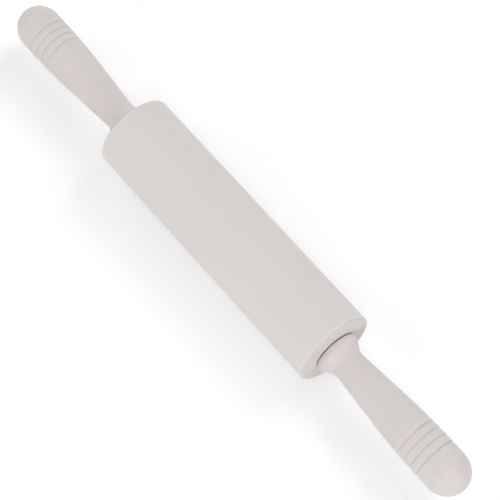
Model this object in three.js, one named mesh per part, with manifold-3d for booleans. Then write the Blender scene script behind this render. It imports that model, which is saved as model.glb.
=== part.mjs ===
// Silicone rolling pin: a silicone-sleeved barrel that turns on a steel axle between two moulded handles.
// Millimetres. X runs along the pin, Z is up, and the origin is under the middle of the barrel,
// on the worktop it rests on. All pieces are drawn about the X axis and lifted by the barrel's radius.

import * as THREE from 'three';
import { mergeVertices } from 'three/addons/utils/BufferGeometryUtils.js';
import Module from 'manifold-3d';

const wasm = await Module();
wasm.setup();

// Barrel and its silicone sleeve
const BARREL_LENGTH = 200;
const BARREL_RADIUS = 26.5;
const BARREL_EDGE = 2;
const SLEEVE_WALL = 5.2;
const LIP_THICKNESS = 3;

// Core tube and the moulded plugs that close its ends
const TUBE_WALL = 2;
const PLUG_FLANGE = 2.8;
const PLUG_DEPTH = 15;
const PLUG_RIM = 2;
const PLUG_WEB = 2;
const PLUG_POCKETS = 6;
const HUB_WALL = 3;
const NOSE_RECESS = 1.4;

// Axle, bushes and thrust washers
const AXLE_RADIUS = 5;
const AXLE_SHOULDER = 1;
const AXLE_SOCKET = 6;
const AXLE_CHAMFER = 0.8;
const AXLE_PROUD = 2.5;
const BUSH_WALL = 1.5;
const BUSH_LENGTH = 16;
const BUSH_FLANGE_WIDTH = 1.8;
const BUSH_FLANGE = 1.6;
const THRUST_WASHER = 1.2;

// Handle outline, as distances from the end face of the barrel
const HANDLE_REACH = 116.8;
const COLLAR_GAP = 0.6;
const COLLAR_RADIUS = 14.8;
const COLLAR_BAND = 3;
const COLLAR_EDGE = 1;
const FLARE_SHAPE = 0.8;
const NECK_AT = 14.4;
const NECK_RADIUS = 10.45;
const TAPER = 0.07;
const GRIP_FROM_TIP = 29;
const GRIP_RADIUS = 15;
const CAP_BAND = 9.75;
const DOME_LENGTH = 15.75;

// Ring grooves round the grip. The outermost one holds the seam of the end cap.
const GROOVE_COUNT = 4;
const GROOVE_PITCH = 5.7;
const GROOVE_WIDTH = 2;
const GROOVE_FLOOR = 0.7;
const GROOVE_DEPTH = 0.8;

// Inside of the handle and its cap
const HANDLE_WALL = 2.6;
const BOSS_REACH = 40;
const COLLAR_POCKETS = 8;
const COLLAR_WEB = 1.6;
const COLLAR_POCKET_DEPTH = 4;
const COLLAR_POCKET_SHARE = 0.45;
const SPIGOT_LENGTH = 8;
const SPIGOT_WALL = 1.6;
const SPIGOT_LEAD = 2;
const SNAP_HEIGHT = 0.4;
const SNAP_WIDTH = 1.6;
const SNAP_CLEARANCE = 0.3;

// Nut and washer that clamp the handle to the axle's shoulder
const NUT_WALL = 2.5;
const NUT_HEIGHT = 6.5;
const NUT_WASHER = 1.6;
const NUT_WASHER_MARGIN = 0.5;

// Clearances: pieces that stay together, the axle turning in its bush, and the barrel's end float
const FIT = 0.2;
const RUNNING_CLEARANCE = 0.1;
const END_FLOAT = 0.15;

// Facets round large and small diameters, both multiples of four, and steps along curves
const LARGE_SEGMENTS = 32;
const SMALL_SEGMENTS = 24;
const EDGE_STEPS = 4;
const COLLAR_EDGE_STEPS = 3;
const FLARE_STEPS = 6;
const TAPER_STEPS = 4;
const CAVITY_STEPS = 2;
const DOME_STEPS = 5;
const POCKET_ARC_STEPS = 2;

// Radii that nest from the sleeve inwards and from the axle outwards
const sleeveBore = BARREL_RADIUS - SLEEVE_WALL;
const tubeRadius = sleeveBore - FIT;
const tubeBore = tubeRadius - TUBE_WALL;
const plugRadius = tubeBore - FIT;
const threadRadius = AXLE_RADIUS - AXLE_SHOULDER;
const bushBore = AXLE_RADIUS + RUNNING_CLEARANCE;
const bushRadius = bushBore + BUSH_WALL;
const flangeRadius = bushRadius + BUSH_FLANGE_WIDTH;
const hubBore = bushRadius + FIT;
const hubRadius = hubBore + HUB_WALL;
const lipRadius = hubRadius + FIT;
const washerBore = AXLE_RADIUS + FIT;
const washerRecess = flangeRadius + FIT + FIT;
const nutBore = threadRadius + FIT;
const nutFlatRadius = threadRadius + NUT_WALL;
const nutCornerRadius = nutFlatRadius / Math.cos(Math.PI / 6);

// Stations along the axis, from the middle of the barrel outwards
const barrelEnd = BARREL_LENGTH / 2;
const plugFace = barrelEnd - LIP_THICKNESS - FIT;
const plugShoulder = plugFace - PLUG_FLANGE;
const tubeEnd = plugShoulder - FIT;
const plugBack = plugShoulder - PLUG_DEPTH;
const noseFace = barrelEnd - NOSE_RECESS;
const flangeBack = noseFace + FIT;
const flangeFace = flangeBack + BUSH_FLANGE;
const bushBack = flangeBack - BUSH_LENGTH;
const washerBack = flangeFace + END_FLOAT;
const washerFace = washerBack + THRUST_WASHER;
const washerSeat = washerFace + FIT;
const collarFace = barrelEnd + COLLAR_GAP;
const axleShoulder = washerSeat + AXLE_SOCKET;
const socketFloor = axleShoulder + FIT;
const bossEnd = barrelEnd + BOSS_REACH;
const nutWasherBack = bossEnd + FIT;
const nutWasherFace = nutWasherBack + NUT_WASHER;
const nutBack = nutWasherFace + FIT;
const axleEnd = nutBack + NUT_HEIGHT + AXLE_PROUD;
const handleTip = barrelEnd + HANDLE_REACH;
const domeStart = handleTip - DOME_LENGTH;
const seam = domeStart - CAP_BAND;
const seamBack = seam - FIT / 2;
const seamFront = seam + FIT / 2;
const cavityRadius = GRIP_RADIUS - HANDLE_WALL;
const spigotRadius = cavityRadius - FIT;
const spigotBore = spigotRadius - SPIGOT_WALL;
const spigotEnd = seamFront - SPIGOT_LENGTH;
const snapCentre = (spigotEnd + seamFront) / 2;
const firstGroove = seam - (GROOVE_COUNT - 1) * GROOVE_PITCH;
const gripStart = HANDLE_REACH - GRIP_FROM_TIP;

const finishes = {
  silicone: new THREE.MeshStandardMaterial({ color: 0xd9d4d1, roughness: 0.7, metalness: 0 }),
  grip: new THREE.MeshStandardMaterial({ color: 0xd8d0ce, roughness: 0.6, metalness: 0 }),
  core: new THREE.MeshStandardMaterial({ color: 0xe4e0d8, roughness: 0.55, metalness: 0 }),
  bearing: new THREE.MeshStandardMaterial({ color: 0xf0ede4, roughness: 0.4, metalness: 0 }),
  steel: new THREE.MeshStandardMaterial({ color: 0xb8bcc0, roughness: 0.35, metalness: 1 }),
  zinc: new THREE.MeshStandardMaterial({ color: 0xc6c7c4, roughness: 0.4, metalness: 1 }),
};

// Evenly spaced values from one end to the other, both ends included
function spaced(from, to, steps) {
  return Array.from({ length: steps + 1 }, (_, i) => THREE.MathUtils.lerp(from, to, i / steps));
}

// Points of an elliptical arc in the plane of a profile: radius first, then distance along the axis
function arc(radius, along, radiusReach, alongReach, fromAngle, toAngle, steps) {
  return spaced(fromAngle, toAngle, steps).map((angle) => [
    radius + radiusReach * Math.cos(angle),
    along + alongReach * Math.sin(angle),
  ]);
}

// Revolves a profile of [radius, along] points about the X axis. Its outside runs towards +X.
// The flats of the facets lie on the true radius, and face straight up, down and sideways.
function revolve(profile, segments) {
  const flats = 1 / Math.cos(Math.PI / segments);
  const points = profile.map(([radius, along]) => new THREE.Vector2(radius * flats, along));
  return new THREE.LatheGeometry(points, segments, Math.PI / segments).rotateZ(-Math.PI / 2);
}

// Closes a profile that stays clear of the axis by repeating its first point
function closed(profile) {
  return [...profile, profile[0]];
}

// Plain ring between two radii and two stations
function ring(bore, radius, from, to, segments) {
  return revolve(closed([[bore, from], [radius, from], [radius, to], [bore, to]]), segments);
}

// A closed geometry as a solid that can be cut
function toSolid(geometry) {
  const bare = geometry.clone();
  bare.deleteAttribute('normal');
  bare.deleteAttribute('uv');
  const merged = mergeVertices(bare);
  return new wasm.Manifold(new wasm.Mesh({
    numProp: 3,
    vertProperties: merged.attributes.position.array,
    triVerts: new Uint32Array(merged.index.array),
  }));
}

// A cut solid as a geometry again
function toGeometry(solid) {
  const { vertProperties, triVerts } = solid.getMesh();
  const geometry = new THREE.BufferGeometry();
  geometry.setAttribute('position', new THREE.BufferAttribute(vertProperties, 3));
  geometry.setIndex(new THREE.BufferAttribute(triVerts, 1));
  geometry.computeVertexNormals();
  return geometry;
}

// Cuts a ring of pockets into a geometry, leaving parallel-sided webs between them
function cutPockets(geometry, { count, inner, outer, web, from, to }) {
  const outerHalf = Math.PI / count - Math.asin(web / 2 / outer);
  const innerHalf = Math.PI / count - Math.asin(web / 2 / inner);
  let solid = toSolid(geometry);
  for (let i = 0; i < count; i += 1) {
    const middle = (i * 2 * Math.PI) / count;
    const sector = new THREE.Shape();
    sector.absarc(0, 0, outer, middle - outerHalf, middle + outerHalf, false);
    sector.absarc(0, 0, inner, middle + innerHalf, middle - innerHalf, true);
    sector.closePath();
    const options = { depth: to - from, bevelEnabled: false, curveSegments: POCKET_ARC_STEPS };
    const pocket = new THREE.ExtrudeGeometry(sector, options);
    pocket.rotateY(Math.PI / 2).translate(from, 0, 0);
    solid = solid.subtract(toSolid(pocket));
  }
  return toGeometry(solid);
}

// Sleeve: a tube with rounded edges, and a lip turned in over each end of the core
function siliconeSleeve() {
  const lipBack = barrelEnd - LIP_THICKNESS;
  const edgeRadius = BARREL_RADIUS - BARREL_EDGE;
  const edgeAt = barrelEnd - BARREL_EDGE;
  const farEdge = arc(edgeRadius, -edgeAt, BARREL_EDGE, BARREL_EDGE, -Math.PI / 2, 0, EDGE_STEPS);
  const nearEdge = arc(edgeRadius, edgeAt, BARREL_EDGE, BARREL_EDGE, 0, Math.PI / 2, EDGE_STEPS);
  const profile = [
    [lipRadius, -barrelEnd],
    ...farEdge,
    ...nearEdge,
    [lipRadius, barrelEnd],
    [lipRadius, lipBack],
    [sleeveBore, lipBack],
    [sleeveBore, -lipBack],
    [lipRadius, -lipBack],
  ];
  return revolve(closed(profile), LARGE_SEGMENTS);
}

// End plug: flange over the tube's end, spigot inside it, and a hub whose nose fills the hole in the lip
function endPlug() {
  const profile = [
    [hubBore, plugBack],
    [plugRadius, plugBack],
    [plugRadius, plugShoulder],
    [tubeRadius, plugShoulder],
    [tubeRadius, plugFace],
    [hubRadius, plugFace],
    [hubRadius, noseFace],
    [hubBore, noseFace],
  ];
  const pockets = {
    count: PLUG_POCKETS,
    inner: hubRadius,
    outer: plugRadius - PLUG_RIM,
    web: PLUG_WEB,
    from: plugBack - FIT,
    to: plugShoulder,
  };
  return cutPockets(revolve(closed(profile), LARGE_SEGMENTS), pockets);
}

// Flanged bush: its sleeve sits in the plug's hub and its flange takes the end thrust
function axleBush() {
  const profile = [
    [bushBore, bushBack],
    [bushRadius, bushBack],
    [bushRadius, flangeBack],
    [flangeRadius, flangeBack],
    [flangeRadius, flangeFace],
    [bushBore, flangeFace],
  ];
  return revolve(closed(profile), SMALL_SEGMENTS);
}

// Axle: one rod through the barrel, with a shoulder for each handle and a thinner, chamfered end
function axleRod() {
  const chamferRadius = threadRadius - AXLE_CHAMFER;
  const half = [
    [AXLE_RADIUS, axleShoulder],
    [threadRadius, axleShoulder],
    [threadRadius, axleEnd - AXLE_CHAMFER],
    [chamferRadius, axleEnd],
    [0, axleEnd],
  ];
  const otherHalf = half.map(([radius, along]) => [radius, -along]).reverse();
  return revolve([...otherHalf, ...half], SMALL_SEGMENTS);
}

// Radius of the taper and grip: leaves the neck at the taper's slope and eases into the straight grip
function gripRadius(distance) {
  const length = gripStart - NECK_AT;
  const t = Math.min((distance - NECK_AT) / length, 1);
  const neckPart = (1 + 2 * t) * (1 - t) ** 2;
  const slopePart = t * (1 - t) ** 2;
  return NECK_RADIUS * neckPart + TAPER * length * slopePart + GRIP_RADIUS * (1 - neckPart);
}

// Radius of the collar's flare: rounds over from the collar's band and runs out into the taper
function flareRadius(distance) {
  const bandEnd = COLLAR_GAP + COLLAR_BAND;
  const t = (distance - bandEnd) / (NECK_AT - bandEnd);
  const fall = Math.sin((Math.PI / 2) * t ** FLARE_SHAPE) ** 2;
  const taper = NECK_RADIUS + TAPER * (distance - NECK_AT);
  return THREE.MathUtils.lerp(COLLAR_RADIUS, taper, fall);
}

// Cross-section of one ring groove, centred on a station: two edges and a narrower floor
function groove(centre) {
  const radius = gripRadius(centre - barrelEnd);
  const floor = radius - GROOVE_DEPTH;
  return [
    [radius, centre - GROOVE_WIDTH / 2],
    [floor, centre - GROOVE_FLOOR / 2],
    [floor, centre + GROOVE_FLOOR / 2],
    [radius, centre + GROOVE_WIDTH / 2],
  ];
}

// Ring standing out from, or let into, the wall where cap and handle snap together
function snapRing(radius, height, width) {
  return [
    [radius, snapCentre - width / 2],
    [radius + height, snapCentre - width / 4],
    [radius + height, snapCentre + width / 4],
    [radius, snapCentre + width / 2],
  ];
}

// Handle: collar, neck, taper and grip outside; axle socket, boss and open cavity inside
function handleShell() {
  const flare = spaced(COLLAR_GAP + COLLAR_BAND, NECK_AT, FLARE_STEPS)
    .map((distance) => [flareRadius(distance), barrelEnd + distance]);
  const taper = spaced(NECK_AT, firstGroove - GROOVE_PITCH - barrelEnd, TAPER_STEPS)
    .slice(1)
    .map((distance) => [gripRadius(distance), barrelEnd + distance]);
  const wholeGrooves = Array.from({ length: GROOVE_COUNT - 1 }, (_, i) => firstGroove + i * GROOVE_PITCH);
  const [seamEdge, seamFloor] = groove(seam);
  const snapDepth = SNAP_HEIGHT + SNAP_CLEARANCE - FIT;
  const snapGroove = snapRing(cavityRadius, snapDepth, SNAP_WIDTH + 2 * SNAP_CLEARANCE);
  const cavityStraight = spigotEnd - SPIGOT_LEAD / 2;
  const cavityTaper = spaced(BOSS_REACH, spigotEnd - SPIGOT_LEAD - barrelEnd, CAVITY_STEPS)
    .map((distance) => [gripRadius(distance) - HANDLE_WALL, barrelEnd + distance]);
  const faceRadius = COLLAR_RADIUS - COLLAR_EDGE;
  const roundTo = collarFace + COLLAR_EDGE;
  const outside = [
    ...arc(faceRadius, roundTo, COLLAR_EDGE, COLLAR_EDGE, -Math.PI / 2, 0, COLLAR_EDGE_STEPS),
    ...flare,
    ...taper,
    ...wholeGrooves.flatMap(groove),
    seamEdge,
    seamFloor,
    [seamFloor[0], seamBack],
  ];
  const inside = [
    [cavityRadius, seamBack],
    ...snapGroove.reverse(),
    [cavityRadius, cavityStraight],
    ...cavityTaper.reverse(),
    [threadRadius + FIT, bossEnd],
    [threadRadius + FIT, socketFloor],
    [AXLE_RADIUS + FIT, socketFloor],
    [AXLE_RADIUS + FIT, washerSeat],
    [washerRecess, washerSeat],
    [washerRecess, collarFace],
  ];
  const spare = (faceRadius - washerRecess) * (1 - COLLAR_POCKET_SHARE);
  const pockets = {
    count: COLLAR_POCKETS,
    inner: washerRecess + spare / 2,
    outer: faceRadius - spare / 2,
    web: COLLAR_WEB,
    from: collarFace - FIT,
    to: collarFace + COLLAR_POCKET_DEPTH,
  };
  return cutPockets(revolve(closed([...outside, ...inside]), LARGE_SEGMENTS), pockets);
}

// End cap: domed shell with a snap-in spigot, its edge forming the outer half of the seam groove
function handleCap() {
  const [, , capFloor, capEdge] = groove(seam);
  const insideReach = DOME_LENGTH - HANDLE_WALL;
  const insideDome = arc(0, domeStart, spigotBore, insideReach, Math.PI / 2, 0, DOME_STEPS);
  const outsideDome = arc(0, domeStart, GRIP_RADIUS, DOME_LENGTH, 0, Math.PI / 2, DOME_STEPS);
  const profile = [
    ...insideDome,
    [spigotBore, spigotEnd],
    [spigotRadius, spigotEnd],
    ...snapRing(spigotRadius, SNAP_HEIGHT, SNAP_WIDTH),
    [spigotRadius, seamFront],
    [capFloor[0], seamFront],
    capFloor,
    capEdge,
    ...outsideDome,
  ];
  return revolve(profile, LARGE_SEGMENTS);
}

// Hexagon nut with a plain bore
function axleNut() {
  const corners = spaced(0, 2 * Math.PI, 6).slice(1)
    .map((angle) => new THREE.Vector2(Math.cos(angle), Math.sin(angle)).multiplyScalar(nutCornerRadius));
  const hexagon = new THREE.Shape(corners);
  const bore = new THREE.Path();
  bore.absarc(0, 0, nutBore, 0, 2 * Math.PI, true);
  hexagon.holes.push(bore);
  const options = { depth: NUT_HEIGHT, bevelEnabled: false, curveSegments: SMALL_SEGMENTS / 2 };
  return new THREE.ExtrudeGeometry(hexagon, options).rotateY(Math.PI / 2).translate(nutBack, 0, 0);
}

// One named piece of the pin
function piece(name, geometry, finish) {
  const mesh = new THREE.Mesh(geometry, finish);
  mesh.name = name;
  return mesh;
}

// Everything that repeats at each end of the pin, drawn for the +X end
function endAssembly(side) {
  const thrustWasher = ring(washerBore, flangeRadius, washerBack, washerFace, SMALL_SEGMENTS);
  const nutWasherRadius = nutCornerRadius + NUT_WASHER_MARGIN;
  const nutWasher = ring(nutBore, nutWasherRadius, nutWasherBack, nutWasherFace, SMALL_SEGMENTS);
  const end = new THREE.Group();
  end.add(
    piece(`${side}_end_plug`, endPlug(), finishes.core),
    piece(`${side}_axle_bush`, axleBush(), finishes.bearing),
    piece(`${side}_thrust_washer`, thrustWasher, finishes.bearing),
    piece(`${side}_handle`, handleShell(), finishes.grip),
    piece(`${side}_handle_cap`, handleCap(), finishes.grip),
    piece(`${side}_nut_washer`, nutWasher, finishes.zinc),
    piece(`${side}_axle_nut`, axleNut(), finishes.zinc),
  );
  return end;
}

const rollingPin = new THREE.Group();
rollingPin.position.z = BARREL_RADIUS;
rollingPin.add(
  piece('silicone_sleeve', siliconeSleeve(), finishes.silicone),
  piece('core_tube', ring(tubeBore, tubeRadius, -tubeEnd, tubeEnd, LARGE_SEGMENTS), finishes.core),
  piece('axle', axleRod(), finishes.steel),
);

const rightEnd = endAssembly('right');
const leftEnd = endAssembly('left');
leftEnd.rotation.z = Math.PI;
rollingPin.add(rightEnd, leftEnd);

export default rollingPin;
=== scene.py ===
"""Looks of a silicone rolling pin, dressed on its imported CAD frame.

The sleeve, the handles and their end caps are rebuilt as fine surfaces of revolution about the pin's
axis, in metres and in the frame's own axes: X along the pin, Z up, the worktop at zero. So are the
core, the bearings, the threaded axle and its nuts inside. A soft studio with a pale floor and the
camera follow.
"""

import logging
import math
from dataclasses import dataclass, replace
from enum import Enum
from functools import reduce
from operator import add
from typing import Any, Callable, Mapping, Optional, Sequence, Union

import bpy
import numpy as np
from mathutils import Matrix, Vector


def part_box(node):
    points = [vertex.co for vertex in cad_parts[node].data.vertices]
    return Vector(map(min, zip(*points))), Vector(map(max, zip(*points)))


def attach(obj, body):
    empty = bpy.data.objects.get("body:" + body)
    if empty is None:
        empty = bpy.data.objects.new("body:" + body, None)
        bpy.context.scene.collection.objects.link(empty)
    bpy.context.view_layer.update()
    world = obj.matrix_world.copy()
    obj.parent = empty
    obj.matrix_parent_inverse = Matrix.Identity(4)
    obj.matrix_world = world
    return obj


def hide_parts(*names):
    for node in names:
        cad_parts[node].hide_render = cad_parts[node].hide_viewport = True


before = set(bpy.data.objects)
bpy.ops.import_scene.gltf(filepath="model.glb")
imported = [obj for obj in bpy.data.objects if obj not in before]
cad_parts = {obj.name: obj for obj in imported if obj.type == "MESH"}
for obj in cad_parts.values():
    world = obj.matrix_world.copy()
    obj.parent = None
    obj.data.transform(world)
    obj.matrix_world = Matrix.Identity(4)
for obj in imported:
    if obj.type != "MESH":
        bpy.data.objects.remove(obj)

logging.basicConfig(level=logging.INFO, format="%(name)s: %(message)s")
LOG = logging.getLogger("rolling_pin")

MM = 0.001
IMAGE_SIDE = 500
SENSOR_WIDTH = 36.0
QUARTER = math.pi / 2
FULL_TURN = 2 * math.pi
HEX_SECTOR = math.pi / 3
SHARP_CORNER = math.radians(40)
CORNER_STEPS = 4
SMALL_COLUMNS = 96
LONG_RUN = 4
STATION_DECIMALS = 5
ON_AXIS = 1e-7
TINY = 1e-12
PATTERN_MIDDLE = 0.5
MIX_SHARE = 0
MIX_FIRST = 6
MIX_SECOND = 7
MIX_RESULT = 2
WHITE = (1.0, 1.0, 1.0)
BLACK = (0.0, 0.0, 0.0)
OTHER_END = np.array([1.0, -1.0])
SEEN_RAYS = ("Is Camera Ray", "Is Glossy Ray", "Is Transmission Ray")

Array = np.ndarray
Pair = tuple[float, float]
Colour = tuple[float, float, float]
Piece = bpy.types.Object
Material = bpy.types.Material
Socket = bpy.types.NodeSocket
Tint = Union[Colour, Socket]
Number = Union["Value", float]
Settings = Optional[Mapping[str, Any]]
Inputs = Optional[Mapping[Union[str, int], Any]]


class Side(Enum):
    """The two ends of the pin, each with its direction along X."""

    RIGHT = 1
    LEFT = -1

    def node(self, piece: str) -> str:
        """Name of a kind of piece at this end."""
        return f"{self.name.lower()}_{piece}"


class Body(Enum):
    """The two rigid bodies of the pin."""

    BARREL = "barrel"
    HANDLES = "handles"


class Slot(Enum):
    """Material slots of the record."""

    SILICONE = "silicone"
    CORE = "core"
    BEARING = "bearing"
    HANDLE = "handle"
    STEEL = "steel"
    ZINC = "zinc"


class Pattern(Enum):
    """Patterns that a finish lays over a surface, by the types of their nodes."""

    CLOUDS = "ShaderNodeTexNoise"
    PITS = "ShaderNodeTexVoronoi"


class BoxKind(Enum):
    """Kinds of soft box: elevation in degrees, then width and height in metres."""

    PANEL = (40.0, 0.9, 0.9)
    STRIP = (14.0, 1.3, 0.55)
    HIGH = (66.0, 0.8, 0.8)
    SMALL = (60.0, 0.6, 0.6)
    OVERHEAD = (88.0, 0.9, 0.9)


Finishes = Mapping[Slot, Material]


def math_operator(operation: str, swapped: bool = False) -> Callable[["Value", Number], "Value"]:
    """Makes an operator between a value and another value or number.

    Args:
        operation: Name of the Math node's operation.
        swapped: Whether the other operand stands on the left.

    Returns:
        A method that adds one Math node.
    """

    def method(self: "Value", other: Number) -> "Value":
        """Result of the Math node."""
        return self.math(operation, *((other, self) if swapped else (self, other)))

    return method


class Value:
    """A number socket of a shader that takes part in plain arithmetic.

    Greater and smaller give one where they hold and zero elsewhere.
    """

    __add__ = math_operator("ADD")
    __radd__ = math_operator("ADD", swapped=True)
    __sub__ = math_operator("SUBTRACT")
    __rsub__ = math_operator("SUBTRACT", swapped=True)
    __mul__ = math_operator("MULTIPLY")
    __rmul__ = math_operator("MULTIPLY", swapped=True)
    __gt__ = math_operator("GREATER_THAN")
    __lt__ = math_operator("LESS_THAN")
    larger = math_operator("MAXIMUM")

    def __init__(self, graph: "Graph", socket: Socket) -> None:
        """Keeps the socket and the graph that it belongs to."""
        self.graph = graph
        self.socket = socket

    def math(self, operation: str, *operands: Number) -> "Value":
        """Result of one Math node on values or numbers, in their order."""
        return self.graph.value("ShaderNodeMath", {"operation": operation}, dict(enumerate(operands)))

    def __abs__(self) -> "Value":
        """Size without its sign."""
        return self.math("ABSOLUTE", self)

    def swing(self, size: float) -> "Value":
        """Drift of a pattern about its middle, scaled to a size."""
        return (self - PATTERN_MIDDLE) * size

    def ramp(self, low: float, high: float) -> "Value":
        """Smooth step, clamped, from zero at the first number to one at the second."""
        inputs = {"Value": self, "From Min": low, "From Max": high}
        return self.graph.value("ShaderNodeMapRange", {"interpolation_type": "SMOOTHSTEP"}, inputs)


@dataclass(frozen=True)
class Layer:
    """A pattern over a surface, and how far a finish follows it.

    The scale is in clouds or pits per metre, the detail counts finer layers, and along scales it along
    the pin's axis. Tone is its share of the colour's drift, gloss its swing of the roughness, and
    relief its share of the fine relief.
    """

    scale: float
    detail: float
    along: float = 1.0
    tone: float = 0.0
    gloss: float = 0.0
    relief: float = 0.0
    pattern: Pattern = Pattern.CLOUDS


class Graph:
    """Builds the node tree of a material or of the world."""

    def __init__(self, tree: bpy.types.NodeTree) -> None:
        """Starts from an emptied tree."""
        self.tree = tree
        tree.nodes.clear()

    def node(self, kind: str, settings: Settings = None, inputs: Inputs = None) -> bpy.types.Node:
        """Adds a node.

        Args:
            kind: Blender's type name of the node.
            settings: Properties of the node, set before its sockets.
            inputs: Socket names or numbers, each with a value, a socket or a number.

        Returns:
            The new node.
        """
        node = self.tree.nodes.new(kind)
        for name, setting in (settings or {}).items():
            setattr(node, name, setting)
        for name, given in (inputs or {}).items():
            source = given.socket if isinstance(given, Value) else given
            if isinstance(source, Socket):
                self.tree.links.new(source, node.inputs[name])
            else:
                node.inputs[name].default_value = source
        return node

    def value(
        self, kind: str, settings: Settings = None, inputs: Inputs = None, output: Union[str, int] = 0
    ) -> Value:
        """One output of a new node, as a value."""
        return Value(self, self.node(kind, settings, inputs).outputs[output])

    def position(self) -> Socket:
        """Place on the piece, in metres."""
        return self.node("ShaderNodeTexCoord").outputs["Object"]

    def along(self) -> Value:
        """Place along the pin's axis, in metres from its middle."""
        return self.value("ShaderNodeSeparateXYZ", None, {0: self.position()})

    def from_origin(self) -> Value:
        """Straight distance from the middle of the worktop, in metres."""
        inputs = {0: self.position()}
        return self.value("ShaderNodeVectorMath", {"operation": "LENGTH"}, inputs, "Value")

    def layer(self, layer: Layer) -> Value:
        """Lays a pattern over the piece.

        Args:
            layer: What the pattern is like.

        Returns:
            The pattern, from zero to about one.
        """
        place = self.position()
        if layer.along != 1.0:
            stretch = {"Vector": place, "Scale": (layer.along, 1.0, 1.0)}
            place = self.node("ShaderNodeMapping", None, stretch).outputs[0]
        inputs = {"Vector": place, "Scale": layer.scale, "Detail": layer.detail}
        return self.value(layer.pattern.value, None, inputs)

    def cells(self, scale: float) -> tuple[Value, Value]:
        """Scattered cells.

        Args:
            scale: Cells per metre.

        Returns:
            Distance to the nearest cell centre in cell widths, and a random number for that cell.
        """
        cell = self.node("ShaderNodeTexVoronoi", None, {"Vector": self.position(), "Scale": scale})
        chance = self.value("ShaderNodeSeparateColor", None, {0: cell.outputs["Color"]})
        return Value(self, cell.outputs["Distance"]), chance

    def attribute(self, name: str) -> Value:
        """A number stored on the piece's own points."""
        return self.value("ShaderNodeAttribute", {"attribute_name": name}, None, "Fac")

    def blend(self, share: Value, first: Tint, second: Tint) -> Socket:
        """Mixes two colours.

        Args:
            share: Zero gives the first colour, one the second.
            first: Linear colour, or the socket of one.
            second: Linear colour, or the socket of one.

        Returns:
            The mixed colour.
        """
        first, second = ((*tint, 1.0) if isinstance(tint, tuple) else tint for tint in (first, second))
        inputs = {MIX_SHARE: share, MIX_FIRST: first, MIX_SECOND: second}
        return self.node("ShaderNodeMix", {"data_type": "RGBA"}, inputs).outputs[MIX_RESULT]

    def surface(self, shader: bpy.types.Node, output: str = "ShaderNodeOutputMaterial") -> None:
        """Joins a shader to the tree's output."""
        self.node(output, None, {"Surface": shader.outputs[0]})

    def seen(self) -> Value:
        """One for rays straight from the camera, by gloss or through glass, zero for all others."""
        path = self.node("ShaderNodeLightPath").outputs
        return reduce(Value.larger, (Value(self, path[name]) for name in SEEN_RAYS))


def new_material(name: str) -> tuple[Material, Graph]:
    """An empty material.

    Args:
        name: Name of the material.

    Returns:
        The material and the graph that fills it.
    """
    material = bpy.data.materials.new(name)
    material.use_nodes = True
    return material, Graph(material.node_tree)


@dataclass(frozen=True)
class Finish:
    """A surface whose colour, gloss and relief follow its layers.

    The colour is linear. Where the tone of the layers passes through the spread, it drifts from the
    first of its tones to the second, which are factors on it. The relief has a depth in metres and a
    strength, the share of it that shows.
    """

    name: str
    colour: Colour
    roughness: float
    layers: Sequence[Layer] = ()
    spread: Pair = (0.25, 0.75)
    tones: Pair = (0.98, 1.02)
    depth: float = 0.02 * MM
    strength: float = 0.3
    specular: float = 0.5
    metallic: float = 0.0

    def tint(self, factor: float) -> Colour:
        """A lighter or darker form of the colour, all channels scaled alike."""
        return tuple(min(channel * factor, 1.0) for channel in self.colour)

    def sockets(self, graph: Graph) -> dict[str, Any]:
        """Adds up what the layers give to colour, roughness and relief.

        Args:
            graph: Graph of the material.

        Returns:
            Sockets of the shader with their values.
        """
        laid = [(layer, graph.layer(layer)) for layer in self.layers]
        tone = reduce(add, (value * layer.tone for layer, value in laid if layer.tone))
        gloss = (value.swing(layer.gloss) for layer, value in laid if layer.gloss)
        height = reduce(add, (value * layer.relief for layer, value in laid if layer.relief))
        relief = {"Height": height, "Distance": self.depth, "Strength": self.strength}
        return {
            "Base Color": graph.blend(tone.ramp(*self.spread), *map(self.tint, self.tones)),
            "Roughness": sum(gloss, self.roughness),
            "Metallic": self.metallic,
            "Specular IOR Level": self.specular,
            "Normal": graph.node("ShaderNodeBump", None, relief).outputs[0],
        }

    def material(self) -> Material:
        """Builds the material round one shader.

        Returns:
            The finished material.
        """
        material, graph = new_material(self.name)
        graph.surface(graph.node("ShaderNodeBsdfPrincipled", None, self.sockets(graph)))
        return material


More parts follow.
